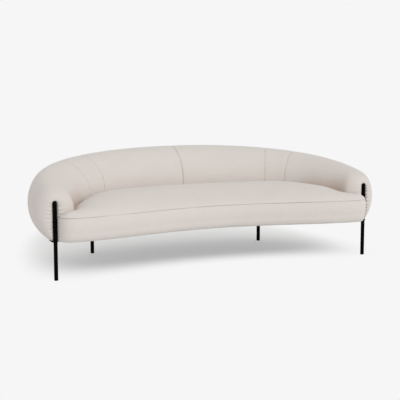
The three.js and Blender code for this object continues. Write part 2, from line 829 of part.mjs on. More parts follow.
// Materials
function finish(color, roughness, metalness = 0) {
  return () => new THREE.MeshStandardMaterial({ color, roughness, metalness });
}
const fabric = finish(0xd6d0cc, 0.95);
const foam = finish(0xe6dcb4, 0.9);
const plywood = finish(0xc8a26c, 0.7);
const blackSteel = finish(0x141414, 0.45, 0.6);
const zincSteel = finish(0xb4b6b8, 0.35, 0.9);
const blackPlastic = finish(0x1c1c1c, 0.6);
const webbing = finish(0x2d2b28, 0.9);
const blackFelt = finish(0x262626, 0.95);

const sofa = new THREE.Group();
const sideNames = [['right', 1], ['left', -1]];

function add(name, geometry, material) {
  const mesh = new THREE.Mesh(closed(geometry), material());
  mesh.name = name;
  sofa.add(mesh);
}

// Adds a right-hand piece and its mirror image
function addPair(name, geometry, material) {
  for (const [sideName, side] of sideNames) {
    add(`${name}_${sideName}`, geometry.clone().scale(side, 1, 1), material);
  }
}

function addCovers() {
  add('seat_top_cover', alongSeat(sheetLoop(topLine), slices, sheetCap), fabric);
  add('seat_front_border', alongSeat(sheetLoop(borderLine), slices, sheetCap), fabric);
  addPair('arm_cover', loft(armStations.map(coverLoop), sheetCap), fabric);
  addPair('side_cover', loft(sideStations.map(coverLoop), sheetCap), fabric);
  addPair('back_cover', loft(backStations.map(coverLoop), sheetCap), fabric);
}

function addFoams() {
  add('seat_foam', alongSeat(seatFoamLoop, foamSlices), foam);
  add('front_foam', alongSeat(frontFoamLoop, foamSlices), foam);
  addPair('arm_foam', loft(armFoamStations.map(foamLoop)), foam);
  addPair('back_foam', loft(backFoamStations.map(foamLoop)), foam);
  addPair('arm_end_pad', endPad(), foam);
}

function addFrame() {
  add('base_plate', basePlate(), plywood);
  add('front_rail', alongSeat(railLoop(fromFront, frontRailInset), railSlices), plywood);
  add('rear_seat_rail', alongSeat(railLoop(fromRear, rearRailInset), railSlices), plywood);
  add('cross_rail_middle', crossRail(0, 1), plywood);
  for (const [sideName, side] of sideNames) {
    add(`cross_rail_${sideName}`, crossRail(crossRailShare, side), plywood);
    add(`end_rail_${sideName}`, endRail(side), plywood);
  }
  const ribPlaces = [armBody[2], armBody[4], sideBody[0], backBody[0], backBody[2]];
  ribPlaces.forEach((place, i) => addPair(`roll_rib_${i + 1}`, uprightPlate(place, ribThickness), plywood));
  addPair('arm_post', armPost(), plywood);
  add('top_rail', topRail(), plywood);
}

function addDeck() {
  for (const [sideName, side] of sideNames) {
    beltShares.forEach((share, i) => add(`belt_${sideName}_${i + 1}`, belt(share, side), webbing));
  }
  add('dust_cover', dustCover(), blackFelt);
}

function addLegs() {
  addPair('front_leg', frontLeg(), blackSteel);
  addPair('rear_leg', rearLeg(), blackSteel);
  addPair('leg_bolt', legBolt(), zincSteel);
  addPair('front_glide', glide().translate(frontLegHalfSpacing, 0, 0), blackPlastic);
  addPair('rear_glide', glide().translate(rearLegHalfSpacing, rearLegSetBack, 0), blackPlastic);
}

addCovers();
addFoams();
addFrame();
addDeck();
addLegs();

// The origin lies on the floor under the middle of the sofa
const extent = new THREE.Box3().setFromObject(sofa);
sofa.position.y = -(extent.min.y + extent.max.y) / 2;

export default sofa;
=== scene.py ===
# %% [markdown]
# # A curved sofa on slim black legs
#
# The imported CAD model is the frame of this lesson. Its legs, plates, rails and belts stay where they are and
# only get a finish. The upholstery is what Blender adds: one padded roll that makes both arms and the back,
# and a crescent seat that is pressed in between. Lengths are in metres and named angles in degrees.

# %% Load the frame
import math

import bmesh
import bpy
import numpy as np
from mathutils import Matrix, Vector, noise
from mathutils.bvhtree import BVHTree


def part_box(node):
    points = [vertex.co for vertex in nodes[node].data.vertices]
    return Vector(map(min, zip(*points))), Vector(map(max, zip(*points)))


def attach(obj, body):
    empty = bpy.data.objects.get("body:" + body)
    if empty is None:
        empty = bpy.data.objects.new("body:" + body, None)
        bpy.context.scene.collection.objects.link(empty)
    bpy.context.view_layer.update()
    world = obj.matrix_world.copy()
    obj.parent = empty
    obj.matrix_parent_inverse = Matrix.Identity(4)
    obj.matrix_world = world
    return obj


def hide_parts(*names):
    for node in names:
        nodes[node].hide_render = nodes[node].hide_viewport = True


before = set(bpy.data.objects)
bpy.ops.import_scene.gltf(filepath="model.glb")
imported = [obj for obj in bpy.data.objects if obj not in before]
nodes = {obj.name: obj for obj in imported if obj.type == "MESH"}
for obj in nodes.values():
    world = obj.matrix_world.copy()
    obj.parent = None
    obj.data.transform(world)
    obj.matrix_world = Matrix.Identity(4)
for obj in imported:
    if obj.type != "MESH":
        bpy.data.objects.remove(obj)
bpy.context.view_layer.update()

# %% [markdown]
# ## Camera
#
# The photograph was fitted with a long lens from the left and a little above the back. A camera turned by
# hand would do too, but the fit puts the leg ends on the right pixels, so its numbers are used as they are.
# Its place is measured from the axis of the front legs.

# %% Camera
CAMERA_LENS, SENSOR_WIDTH, CLIP_END = 95.69, 36, 100
CAMERA_X, CAMERA_FROM_LEGS, CAMERA_HEIGHT = -2.6222, -6.1879, 1.45
CAMERA_TILT, CAMERA_TURN = 81.41, -21.98


def middle_of(name):
    """The middle of a CAD node in plan."""
    low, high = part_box(name)
    return (low.x + high.x) / 2, (low.y + high.y) / 2


leg_x, leg_y = middle_of("front_glide_right")
camera_data = bpy.data.cameras.new("photo_camera")
camera_data.lens = CAMERA_LENS
camera_data.sensor_width = SENSOR_WIDTH
camera_data.clip_end = CLIP_END
camera = bpy.data.objects.new("photo_camera", camera_data)
camera.location = (CAMERA_X, CAMERA_FROM_LEGS + leg_y, CAMERA_HEIGHT)
camera.rotation_euler = (math.radians(CAMERA_TILT), 0, math.radians(CAMERA_TURN))
bpy.context.collection.objects.link(camera)
bpy.context.scene.camera = camera
print("front legs at x", round(leg_x, 4), "y", round(leg_y, 4))

# %% [markdown]
# ## Shader sums
#
# A finish is a tree of nodes. Written as Python expressions it reads like the sum that it is: this small
# class wraps one socket, and adding or multiplying two of them adds the Math node. Any other node comes from
# its one method.

# %% Shader class
class Shade:
    def __init__(self, tree, socket=None):
        self.tree, self.socket = tree, socket

    def node(self, kind, out=0, settings=None, inputs=None):
        """Adds a node: its settings come first, then the values or links of its sockets."""
        made = self.tree.nodes.new(kind)
        for key, value in (settings or {}).items():
            setattr(made, key, value)
        for key, value in (inputs or {}).items():
            if isinstance(value, Shade):
                self.tree.links.new(value.socket, made.inputs[key])
            else:
                made.inputs[key].default_value = value
        return Shade(self.tree, made.outputs[out])

    def math(self, operation, *values):
        return self.node("ShaderNodeMath", 0, {"operation": operation}, dict(enumerate(values)))

    def __add__(self, other):
        return self.math("ADD", self, other)

    def __sub__(self, other):
        return self.math("SUBTRACT", self, other)

    def __rsub__(self, other):
        return self.math("SUBTRACT", other, self)

    def __mul__(self, other):
        return self.math("MULTIPLY", self, other)

    __radd__, __rmul__ = __add__, __mul__

    def clamp(self):
        return self.math("MINIMUM", self.math("MAXIMUM", self, 0.0), 1.0)

    def mixed(self, low, high):
        """Low where this value is 0 and high where it is 1, for two colours."""
        return self.node("ShaderNodeMix", 2, {"data_type": "RGBA"}, {0: self, 6: low, 7: high})


print("shader sums ready")

# %% [markdown]
# ## What every finish needs
#
# Each finish starts as an empty material and ends with one shader on its output. In between it reads the
# piece's own coordinates, a noise or a cell texture, and now and then one number of a vector. Colours are
# written as a picture shows them, from 0 to 255, and are turned into the linear values that light needs.

# %% Helpers for finishes
def new_finish(name):
    material = bpy.data.materials.new(name)
    material.use_nodes = True
    tree = material.node_tree
    tree.nodes.clear()
    return material, Shade(tree)


def close_finish(shade, shader):
    out = shade.tree.nodes.new("ShaderNodeOutputMaterial")
    shade.tree.links.new(shader.socket, out.inputs["Surface"])


def surface(shade, base, roughness, bump=None, **fixed):
    """A Principled shader with its constants set on the sockets directly."""
    inputs = {"Base Color": base, "Roughness": roughness}
    inputs.update({key.replace("_", " "): value for key, value in fixed.items()})
    if bump is not None:
        height, strength, distance = bump
        relief = {"Strength": strength, "Distance": distance, "Height": height}
        inputs["Normal"] = shade.node("ShaderNodeBump", 0, {}, relief)
    return shade.node("ShaderNodeBsdfPrincipled", 0, {}, inputs)


print("finishes start empty and end with one shader")

# %% Places, textures and colours
def own_place(shade):
    return shade.node("ShaderNodeTexCoord", 3)


def part_of(vector, axis):
    return vector.node("ShaderNodeSeparateXYZ", axis, {}, {0: vector})


def noise_at(place, scale, detail, distortion=0.0):
    settings = {"Vector": place, "Scale": scale, "Detail": detail, "Distortion": distortion}
    return place.node("ShaderNodeTexNoise", 0, {}, settings)


def cells_at(place, scale):
    return place.node("ShaderNodeTexVoronoi", 0, {}, {"Vector": place, "Scale": scale})


def ribs_along(value, pitch):
    """A wave from 0 to 1 with this pitch."""
    return value.math("SINE", value * (2 * math.pi / pitch)) * 0.5 + 0.5


def colour(red, green, blue):
    """A linear colour, from the 0 to 255 values that a picture shows."""
    def linear(value):
        share = value / 255
        return share / 12.92 if share <= 0.04045 else ((share + 0.055) / 1.055) ** 2.4
    return (linear(red), linear(green), linear(blue), 1)


print("white reads as", [round(x, 2) for x in colour(255, 255, 255)])

# %% [markdown]
# ## Floor and light
#
# A plain pale floor keeps the shadow under the sofa. Part of what the camera sees of it is a steady paper
# tone, which holds the shadow back to the pale grey of the photograph. Further out that tone takes over, as
# on a retouched studio floor, and it goes into a backdrop of the same tone, so that no horizon shows. One
# broad lamp stands high in front and makes the soft shadow that falls to the back. The sky fills the rest.

# %% Floor
FLOOR_RADIUS, FLOOR_CENTRE = 14, (0, 3, -0.0005)
FADE_START, FADE_END = 3.875, 10.125
SHADOW_CENTRE, SHADOW_BEND = (0.03, 0.86, 0), 0.67
SHADOW_FULL, SHADOW_GONE, FLOOR_TONE = 0.9, 1.27, 0.38
paper_tone = colour(246, 246, 246)


def seen_rays(shade):
    """1 for rays from the camera, also by way of gloss or glass."""
    kinds = ("Is Camera Ray", "Is Glossy Ray", "Is Transmission Ray")
    direct, glossy, through = (shade.node("ShaderNodeLightPath", kind) for kind in kinds)
    return shade.math("MAXIMUM", shade.math("MAXIMUM", direct, glossy), through)


bpy.ops.object.select_all(action="DESELECT")
bpy.ops.mesh.primitive_circle_add(vertices=96, radius=FLOOR_RADIUS, fill_type="NGON", location=FLOOR_CENTRE)
floor = bpy.context.object
floor.name = "floor"
bpy.ops.object.transform_apply(location=True, rotation=True, scale=True)
floor_finish, f = new_finish("floor_paper")
place = own_place(f)
distance = f.node("ShaderNodeVectorMath", 1, {"operation": "LENGTH"}, {0: place})
fade = ((distance - FADE_START) * (1 / (FADE_END - FADE_START))).clamp()
aside = f.node("ShaderNodeVectorMath", 0, {"operation": "SUBTRACT"}, {0: place, 1: SHADOW_CENTRE})
x_part, y_part = part_of(aside, 0), part_of(aside, 1)
bent = y_part + x_part * x_part * SHADOW_BEND
reach = f.math("SQRT", x_part * x_part + bent * bent)
outside = f.node("ShaderNodeMapRange", 0, {"interpolation_type": "SMOOTHSTEP"},
                 {0: reach, 1: SHADOW_FULL, 2: SHADOW_GONE, 3: FLOOR_TONE, 4: 1.0})
paper = surface(f, colour(247, 247, 247), 0.9, Specular_IOR_Level=0.0)
tone = f.node("ShaderNodeEmission", 0, {}, {"Color": paper_tone})
held = f.node("ShaderNodeMixShader", 0, {}, {0: seen_rays(f) * outside, 1: paper, 2: tone})
clear = f.node("ShaderNodeBsdfTransparent")
close_finish(f, f.node("ShaderNodeMixShader", 0, {}, {0: fade, 1: held, 2: clear}))
floor.data.materials.append(floor_finish)
print("floor with a radius of", FLOOR_RADIUS, "m")

# %% World and lamp
KEY_STRENGTH, KEY_SPREAD, KEY_TURN, KEY_TILT = 1.06, 50, 20, 60
SKY_STRENGTH = 0.71
world = bpy.data.worlds.new("studio")
bpy.context.scene.world = world
world.use_nodes = True
world.node_tree.nodes.clear()
w = Shade(world.node_tree)
light = w.node("ShaderNodeBackground", 0, {}, {"Color": (1, 1, 1, 1), "Strength": SKY_STRENGTH})
backdrop = w.node("ShaderNodeBackground", 0, {}, {"Color": paper_tone, "Strength": 1.0})
shown = w.node("ShaderNodeMixShader", 0, {}, {0: seen_rays(w), 1: light, 2: backdrop})
world_out = world.node_tree.nodes.new("ShaderNodeOutputWorld")
world.node_tree.links.new(shown.socket, world_out.inputs["Surface"])

lamp_data = bpy.data.lights.new("broad_lamp", "SUN")
lamp_data.energy = KEY_STRENGTH
lamp_data.angle = math.radians(KEY_SPREAD)
lamp = bpy.data.objects.new("broad_lamp", lamp_data)
lamp.rotation_euler = (math.radians(KEY_TILT), 0, math.radians(KEY_TURN))
bpy.context.collection.objects.link(lamp)
bpy.context.scene.view_settings.view_transform = "Standard"
print("sky", SKY_STRENGTH, "lamp", KEY_STRENGTH)

# %% [markdown]
# ## The path of the roll
#
# The roll is one sausage of foam bent round the seat. Its middle line is half of a squarish ellipse, its
# section grows from the arms to the back, and at each arm's end it rounds off and is gathered behind the
# front leg. A cushion can be inflated from a flat panel, but this one is glued over foam and drawn tight, so
# it is lofted from the sections that the CAD model has, with far more of them.

# %% Path of the roll
ROLL_DEPTH, TIP_REACH, SQUARENESS = 0.879, 0.017, 2.75
PATH_POINTS, PATH_STEP = 6001, 0.004


def ease(value, low, high):
    share = np.clip((value - low) / (high - low), 0, 1)
    return share * share * (3 - 2 * share)


def measured(line):
    """Distances along a line of points, from its start."""
    return np.concatenate([[0], np.cumsum(np.linalg.norm(np.diff(line, axis=0), axis=1))])


def on_line(line, at, step):
    """Places at distances along a line of points, and the line's direction there."""
    far = measured(line)

    def place_at(where):
        inside = np.clip(where, 0, far[-1])
        return np.stack([np.interp(inside, far, line[:, k]) for k in (0, 1)], axis=-1)

    way = place_at(at + step) - place_at(at - step)
    return place_at(at), way / np.linalg.norm(way, axis=-1, keepdims=True)


turns = np.linspace(0, math.pi / 2, PATH_POINTS)
path = np.stack([
    leg_x * np.cos(turns) ** (2 / SQUARENESS),
    ROLL_DEPTH * np.sin(turns) ** (2 / SQUARENESS) - TIP_REACH + leg_y,
], axis=1)
ROLL_LENGTH = measured(path)[-1]


def along_path(along):
    """Places and directions on the middle line, at distances from the tip of the right arm."""
    at = np.clip(along, 0, ROLL_LENGTH)
    near, way = on_line(path, at, PATH_STEP)
    return near + way * (along - at)[..., None], way


print("the roll's half is", round(ROLL_LENGTH, 3), "m long")

# %% [markdown]
# ## Where the legs press in
#
# Each front tube stands in front of the roll's end and is let into it. Two simple curves make that form: a
# wide dimple, as a thumb leaves it in a cushion, and a slot that is just wider than the tube and ends round
# over its dome. They could be sculpted, but as formulas they keep their clearance when the leg is moved.

# %% Slot and dimple behind a leg
SOFT_GAP = 0.0004
LEG_RADIUS, LEG_TOP = 0.0125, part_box("front_leg_right")[1].z
SLOT_REACH, SLOT_DEPTH, SLOT_POWER, DOME_STRETCH = 0.0165, 0.0139, 6, 1.25
DIMPLE_REACH, DIMPLE_FADE = 0.03, 0.05
DIMPLE_DEPTH = LEG_RADIUS + SOFT_GAP + TIP_REACH - SLOT_DEPTH


def groove(x, height=0.0):
    """How far the cover is drawn back at a front leg: a wide dimple, and a slot that clears the tube."""
    aside = np.abs(x - leg_x)
    over_dome = np.maximum(height - LEG_TOP + LEG_RADIUS, 0)
    from_axis = np.hypot(aside, DOME_STRETCH * over_dome)
    slot = SLOT_DEPTH * np.exp(-((from_axis / SLOT_REACH) ** SLOT_POWER))
    below = 1 - ease(height, LEG_TOP, LEG_TOP + DIMPLE_FADE)
    return slot + DIMPLE_DEPTH * np.exp(-((aside / DIMPLE_REACH) ** 2)) * below


print("drawn back by", round(float(groove(leg_x)) * 1000, 1), "mm behind the tube")

# %% [markdown]
# ## Sections of the roll
#
# A section is two quarter rounds over the top, one more down the outside, and a flat hem below. Its half
# widths and its top grow from the arm to the back. At the tip it narrows towards the middle line, on the
# inner side last, and turns a little squarer, so that the arm ends blunt, as foam under tight cloth does.

# %% Sizes along the roll
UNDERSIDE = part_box("arm_cover_right")[0].z
ROLL_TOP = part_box("back_cover_right")[1].z
ARM_OUTER, ARM_INNER, BACK_OUTER, BACK_INNER = 0.104, 0.136, 0.205, 0.249
OUTER_GROWTH, INNER_GROWTH, INNER_START, INNER_FULL = 0.9, 0.25, 0.05, 0.2
ARM_TOP, TOP_GROWTH = 0.546, 0.44
TIP_LENGTH, TIP_TOP, TIP_BLUNT, TIP_SQUARE = 0.106, 0.48, 1.0, 0.8
SQUARE_UNTIL = 3 * TIP_LENGTH
ARM_CREASE, CREASE_RISE, CREASE_SHARE = 0.4, 0.01, 0.5


def crease_at(share):
    """Height of the crease between roll and seat, at a share of the way to the middle of the back."""
    return ARM_CREASE + CREASE_RISE * np.clip(share / CREASE_SHARE, 0, 1)


def sizes_of(along, turn, inset):
    """Outer and inner half width and top of the section at a distance from the arm's tip, and its crease."""
    share = along / ROLL_LENGTH
    blend = (1 - np.cos(np.pi * np.clip(share, 0, 1))) / 2
    shoulder = ease(share, INNER_START, INNER_FULL)
    outer = (ARM_OUTER + (BACK_OUTER - ARM_OUTER) * blend**OUTER_GROWTH - inset) * turn
    full = turn * (1 + TIP_BLUNT * turn * (1 - turn))
    inner = (ARM_INNER + (BACK_INNER - ARM_INNER) * blend**INNER_GROWTH * shoulder - inset) * full
    full_top = ARM_TOP + (ROLL_TOP - ARM_TOP) * blend**TOP_GROWTH
    top = TIP_TOP + (full_top - TIP_TOP) * turn - inset
    return outer, inner, top, crease_at(share)


print("the arm is", round(ARM_OUTER + ARM_INNER, 3), "m wide, the back", round(ROLL_TOP, 3), "m high")

# %% Sections of the roll
BOTTOM_SINK, FOOT_TAPER, HEM, TUCK, TUCK_SHELF = 0.007, 1.3, 0.032, 0.02, 0.008
TUCK_ROWS, TOP_ROWS, SIDE_ROWS, HEM_ROWS = 6, 72, 70, 4


def section(along, turn, inset):
    """Offsets across and heights of one section, from the tuck over the top to the end of the hem."""
    outer, inner, top, crease = sizes_of(along, turn, inset)
    middle = (top + UNDERSIDE) / 2
    rise, lower = top - middle, middle - UNDERSIDE + BOTTOM_SINK
    tuck = min(crease - TUCK, middle - TUCK_SHELF)
    up = np.linspace(0, 1, TUCK_ROWS, endpoint=False)
    quarter = np.linspace(0, math.pi / 2, TOP_ROWS, endpoint=False)
    down = np.linspace(0, math.asin((middle - UNDERSIDE) / lower), SIDE_ROWS)
    foot = outer * math.cos(down[-1]) ** FOOT_TAPER
    under = np.linspace(0, 1, HEM_ROWS + 1)[1:]
    square = 1 - (1 - TIP_SQUARE) * (1 - ease(along, TIP_LENGTH, SQUARE_UNTIL))
    across = np.concatenate([
        np.full(TUCK_ROWS, -inner),
        -inner * np.cos(quarter) ** square,
        outer * np.sin(quarter),
        outer * np.cos(down) ** FOOT_TAPER,
        foot - HEM * turn * under,
    ])
    height = np.concatenate([
        tuck + (middle - tuck) * up,
        middle + rise * np.sin(quarter) ** square,
        middle + rise * np.cos(quarter),
        middle - lower * np.sin(down),
        np.full(HEM_ROWS, UNDERSIDE),
    ])
    return across, height


def roll_grid(stations):
    """Points of the roll's skin: one row for each station (distance, turn, inset)."""
    rows = []
    for along, turn, inset in stations:
        across, height = section(along, turn, inset)
        here, way = along_path(np.full(len(across), along))
        x = here[:, 0] + way[:, 1] * across
        y = here[:, 1] - way[:, 0] * across + groove(x, height) * (1 - turn**2)
        rows.append(np.stack([x, y, height], axis=1))
    return np.array(rows)


print("one section has", 2 * TOP_ROWS + TUCK_ROWS + SIDE_ROWS + HEM_ROWS, "points")

# %% [markdown]
# ## From a grid of points to a fabric panel
#
# A sewn panel is a sheet with a little thickness. Its outside is drawn first, with a UV map that measures
# real metres along and across, so that the weave keeps its size however the panel bends. On the left half
# the map is shifted, because threads don't mirror. A thickness is then laid on the inside, as wadding is on
# the back of a cover.

# %% Normals and lengths of a grid
def normals_of(grid):
    along = np.gradient(grid, axis=0)
    across = np.gradient(grid, axis=1)
    normal = np.cross(across, along)
    size = np.linalg.norm(normal, axis=2, keepdims=True)
    return normal / np.maximum(size, 1e-12)


def lengths_along(grid, axis):
    steps = np.linalg.norm(np.diff(grid, axis=axis), axis=2)
    total = np.cumsum(steps, axis=axis)
    pad = np.zeros_like(np.take(total, [0], axis=axis))
    return np.concatenate([pad, total], axis=axis)


print("grids are measured along their rows and columns")

# %% Panels
COVER_THICK, FILL = 0.003, 0.95
MERGE, LEFT_SHIFT = 1e-6, 3


def panel(name, grid, finish, thickness=COVER_THICK, side=1, painted_shade=None):
    """A closed panel from a grid of points, which are given for the right side of the sofa.

    Its last argument is each point's painted shade, 0 to 1: how far it lies in a crease or a seam.
    """
    rows, columns = grid.shape[:2]
    u = lengths_along(grid, 0)[:, columns // 2] + LEFT_SHIFT * (side < 0)
    v = lengths_along(grid, 1)[rows // 2]
    mesh = bpy.data.meshes.new(name)
    built = bmesh.new()
    uv = built.loops.layers.uv.new("cloth")
    # Painted shade: each point keeps how much the fabric colour is darkened there.
    layer = built.verts.layers.float.new("painted_shade")
    corners = [[built.verts.new((p[0] * side, p[1], p[2])) for p in row] for row in grid]
    if painted_shade is not None:
        for row, values in zip(corners, painted_shade):
            for corner, value in zip(row, values):
                corner[layer] = value
    for i, j in np.ndindex(rows - 1, columns - 1):
        ring = [(i, j), (i + 1, j), (i + 1, j + 1), (i, j + 1)]
        if side > 0:
            ring.reverse()
        face = built.faces.new([corners[a][b] for a, b in ring])
        face.smooth = True
        for loop, (a, b) in zip(face.loops, ring):
            loop[uv].uv = (u[a], v[b])
    bmesh.ops.remove_doubles(built, verts=built.verts, dist=MERGE)
    bmesh.ops.dissolve_degenerate(built, edges=built.edges, dist=MERGE)
    built.to_mesh(mesh)
    built.free()
    piece = bpy.data.objects.new(name, mesh)
    bpy.context.collection.objects.link(piece)
    mesh.materials.append(finish)
    bpy.ops.object.select_all(action="DESELECT")
    bpy.context.view_layer.objects.active = piece
    piece.select_set(True)
    wall = piece.modifiers.new("wall", "SOLIDIFY")
    wall.thickness, wall.offset = thickness, -1
    bpy.ops.object.modifier_apply(modifier="wall")
    print(name, len(piece.data.polygons), "faces, low", round(min(v.co.z for v in piece.data.vertices), 4))
    return piece


def declare_cover(piece, replaced):
    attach(piece, "root")
    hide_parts(replaced)


print("covers are", COVER_THICK * 1000, "mm thick")

# %% [markdown]
# ## Seams and slack
#
# Where two panels are sewn, each edge turns inwards over three to four millimetres, and the line between
# them is the dark seam that the eye reads. Fabric over foam is never quite even either, so a slow unevenness
# of about a millimetre at most is added.

# %% Seams and slack
SEAM_ROUND, SEAM_DRAW, SEAM_REACH = 0.0035, 0.0018, 0.014


def seam_inset(distance):
    """How far a panel is drawn in at a distance from its seam."""
    near = np.clip(1 - distance / SEAM_ROUND, 0, 1)
    rolled = SEAM_ROUND * (1 - np.sqrt(1 - near**2))
    return float(rolled + SEAM_DRAW * np.exp(-((distance / SEAM_REACH) ** 2)))


def uneven(grid, amount, size, seed):
    """Lifts and sinks a grid by a slow noise, along its normals."""
    lift = np.empty(grid.shape[:2])
    for i, j in np.ndindex(lift.shape):
        lift[i, j] = noise.noise(Vector(grid[i, j]) / size + Vector((seed, 0, 0)))
    return grid + normals_of(grid) * (lift * amount)[..., None]


print("seam drawn in by", round(seam_inset(0) * 1000, 1), "mm")

# %% [markdown]
# ## Gathers behind the legs
#
# Behind each front leg the cover is pulled together, and short pleats run away from the leg like rays. They
# are shallow right at the tube, deepest a finger's breadth away, and gone after some four centimetres. No two
# are alike: a wave shifts them, and a number that belongs to each makes it longer or shorter.

# %% Pleats
PLEAT_PITCH, PLEAT_LENGTH, PLEAT_DEPTH, PLEAT_RIDGE = 0.02, 0.033, 0.0095, 0.55
GATHER_HEIGHT, RAY_SOURCE = 0.405, 0.13
PLEATS_FROM, PLEATS_TO = (0.27, 0.32), (0.47, 0.5)


def chance(number, seed):
    """A number from 0 to 1 that belongs to a whole number and seems picked by chance."""
    value = np.sin(number * 12.9898 + seed * 4.1) * 43758.5453
    return value - np.floor(value)


def gathered(grid, side):
    """Presses the pleats into a grid near the front leg."""
    x, y, height = np.moveaxis(grid, -1, 0)
    far = np.maximum(np.hypot(x - leg_x, y - leg_y) - LEG_RADIUS, 0)
    ray = (height - GATHER_HEIGHT) * RAY_SOURCE / (far + RAY_SOURCE) / PLEAT_PITCH
    ray = ray + 0.13 * np.sin(2.1 * ray + side) + 0.07 * np.sin(5.3 * ray + 2 * side)
    valley = np.floor(ray + 0.5)
    pinch = np.cos(np.pi * (ray - valley)) ** 2
    length = PLEAT_LENGTH * (0.75 + 0.5 * chance(valley, side + 5))
    pull = np.exp(-((far / length) ** 3)) * (0.6 + 0.4 * chance(valley, side + 9))
    pull *= 0.3 + 0.7 * ease(far, 0.003, 0.015)
    ridge = PLEAT_RIDGE * np.exp(-((far / PLEAT_LENGTH) ** 2)) * ease(far, 0.004, 0.016)
    there = ease(height, *PLEATS_FROM) * (1 - ease(height, *PLEATS_TO))
    there *= ease(np.abs(x - leg_x), LEG_RADIUS, LEG_RADIUS + 0.01)
    return grid - normals_of(grid) * (PLEAT_DEPTH * (pinch * pull - ridge) * there)[..., None]


print("pleats every", round(PLEAT_PITCH * 1000), "mm")

# %% [markdown]
# ## Cloth over foam
#
# The foam underneath has the last word: where a drawn surface would cut into it, as at the bottom of a seam
# or a pleat, the cloth is lifted, by eight millimetres at most, to lie just over the foam with its wadding
# pressed in. A ray from outside each point, back along its normal, finds where the foam begins.

# %% Cloth over foam
PROBE, ABOVE_FOAM, MOST_LIFT, LIFT_SPREAD = 0.012, 0.0006, 0.008, 2


def over_foam(grid, *names, columns=slice(None)):
    """Lifts a grid off the foam bodies of these CAD nodes; only these columns are moved."""
    points, faces = [], []
    for name in names:
        start = len(points)
        points += [corner.co.copy() for corner in nodes[name].data.vertices]
        faces += [[start + k for k in face.vertices] for face in nodes[name].data.polygons]
    tree = BVHTree.FromPolygons(points, faces)
    normal = normals_of(grid)
    lift = np.zeros(grid.shape[:2])
    for i, j in np.ndindex(lift.shape):
        out = Vector(normal[i, j])
        far = tree.ray_cast(Vector(grid[i, j]) + out * PROBE, -out, 2 * PROBE)[3]
        if far is not None:
            lift[i, j] = min(max(PROBE - far + ABOVE_FOAM, 0), MOST_LIFT)
    for _ in range(LIFT_SPREAD):
        around = (lift[:-2, 1:-1] + lift[2:, 1:-1] + lift[1:-1, :-2] + lift[1:-1, 2:]) / 4
        lift[1:-1, 1:-1] = np.maximum(lift[1:-1, 1:-1], around)
    allowed = np.zeros_like(lift)
    allowed[:, columns] = 1
    lift *= allowed
    print("lifted", int((lift > 0).sum()), "of", lift.size, "points, at most",
          round(float(lift.max()) * 1000, 2), "mm")
    return grid + normal * lift[..., None]


print("cloth is lifted to", ABOVE_FOAM * 1000, "mm over the foam")

# %% [markdown]
# ## Settling the cloth
#
# Drawing alone gives a seat that is too perfect. So its top is settled by a short cloth simulation: it has a
# little more cloth than it needs, its sewn edges are held, and the foam behind presses it outwards. Twenty
# steps are enough. The move of each point is then held to three millimetres, and to under one towards the
# foam, since upholstery is glued and stapled down and never strays far from what fills it.

# %% A closed body
def closed_body(grid, behind):
    """An object of a grid and of a fan from its rim to one place behind it, so that pressure can act."""
    rows, columns = grid.shape[:2]
    index = np.arange(rows * columns).reshape(rows, columns)
    ring = (index[:-1, :-1], index[:-1, 1:], index[1:, 1:], index[1:, :-1])
    quads = np.stack(ring, axis=2).reshape(-1, 4)
    rim = np.concatenate([index[0, :-1], index[:-1, -1], index[-1, :0:-1], index[:0:-1, 0]])
    fan = [(int(a), rows * columns, int(b)) for a, b in zip(rim, np.roll(rim, -1))]
    points = np.concatenate([grid.reshape(-1, 3), [behind]])
    mesh = bpy.data.meshes.new("settling")
    mesh.from_pydata(points.tolist(), [], quads.tolist() + fan)
    body = bpy.data.objects.new("settling", mesh)
    bpy.context.collection.objects.link(body)
    return body


print("a closed body lets pressure act on a sheet")

# %% Cloth simulation
PRESSURE, SLACK, TENSION, CLOTH_STEPS = 0.4, 0.004, 60, 20
MOST_MOVE, MOST_SINK = 0.003, 0.0008


def settled(grid, held, behind):
    """A grid after a cloth simulation.

    held is how firmly each point is pinned, 0 to 1, and behind is a place inside the foam.
    """
    body = closed_body(grid, behind)
    pins = body.vertex_groups.new(name="pins")
    for k, firm in enumerate([*held.ravel(), 1.0]):
        if firm > 0:
            pins.add([k], float(firm), "REPLACE")
    cloth = body.modifiers.new("cloth", "CLOTH")
    cloth.settings.quality = 4
    cloth.settings.mass = 0.3
    cloth.settings.tension_stiffness = TENSION
    cloth.settings.compression_stiffness = TENSION
    cloth.settings.bending_stiffness = 0.3
    cloth.settings.air_damping = 4
    cloth.settings.vertex_group_mass = "pins"
    cloth.settings.shrink_min = -SLACK
    cloth.settings.use_pressure = True
    cloth.settings.uniform_pressure_force = PRESSURE
    cloth.settings.effector_weights.gravity = 0
    cloth.point_cache.frame_start, cloth.point_cache.frame_end = 1, CLOTH_STEPS
    for frame_number in range(1, CLOTH_STEPS + 1):
        bpy.context.scene.frame_set(frame_number)
    shaped = body.evaluated_get(bpy.context.evaluated_depsgraph_get()).data
    moved = np.empty(len(shaped.vertices) * 3)
    shaped.vertices.foreach_get("co", moved)
    move = moved.reshape(-1, 3)[:-1].reshape(grid.shape) - grid
    size = np.linalg.norm(move, axis=2, keepdims=True)
    bpy.data.objects.remove(body)
    bpy.context.scene.frame_set(1)
    print("settled", held.size, "points, moved by", round(float(size.mean()) * 1000, 2), "mm on average and",
          round(float(size.max()) * 1000, 2), "at most")
    move = move * np.minimum(1, MOST_MOVE / np.maximum(size, 1e-9))
    normal = normals_of(grid)
    sunk = np.maximum(-MOST_SINK - (move * normal).sum(axis=2, keepdims=True), 0)
    return grid + move + normal * sunk


